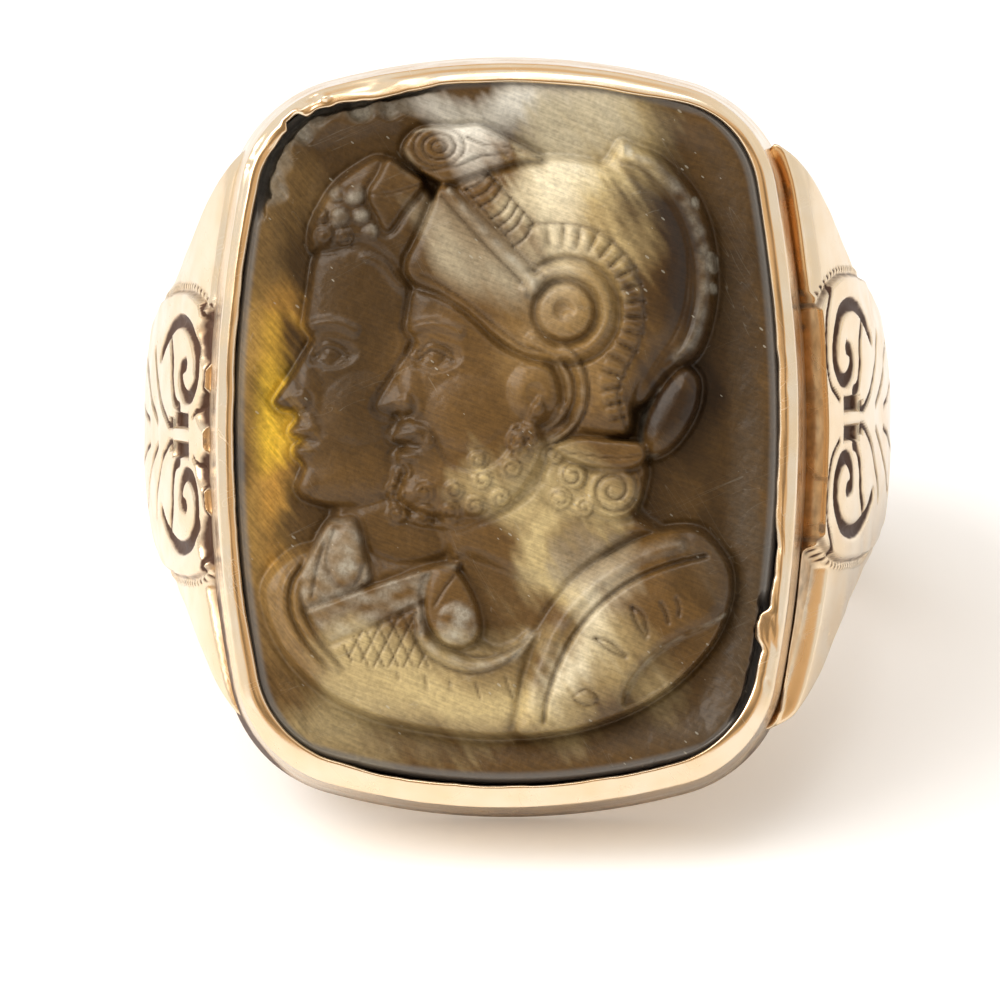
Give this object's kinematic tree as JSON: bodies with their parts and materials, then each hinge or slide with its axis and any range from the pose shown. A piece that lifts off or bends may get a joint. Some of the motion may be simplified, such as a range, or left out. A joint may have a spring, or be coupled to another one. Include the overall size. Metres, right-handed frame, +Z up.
{
  "type": "cameo ring",
  "caption": "Finger ring in polished gold: a deep bezel holds a cushion-shaped stone carved with heads in profile, between broad shoulders with raised scrolls.",
  "frame": {"origin": "on the ground, under the middle of the ring's box, as the ring lies on its side", "axes": "+Z up, -Y towards the carved face, +X to the right seen from the face; the finger axis leans back by 24.8 degrees from +Z towards +Y"},
  "size_m": [0.0224, 0.0276, 0.0218],
  "materials": {
    "gold": "polished pale rose gold with fine wear and brown tarnish in the recesses",
    "stone": "carved and half polished, with silky fibres in brown, olive and honey yellow"
  },
  "bodies": {
    "root": {"ring_mount": "gold", "cameo_stone": "stone"}
  },
  "joints": []
}
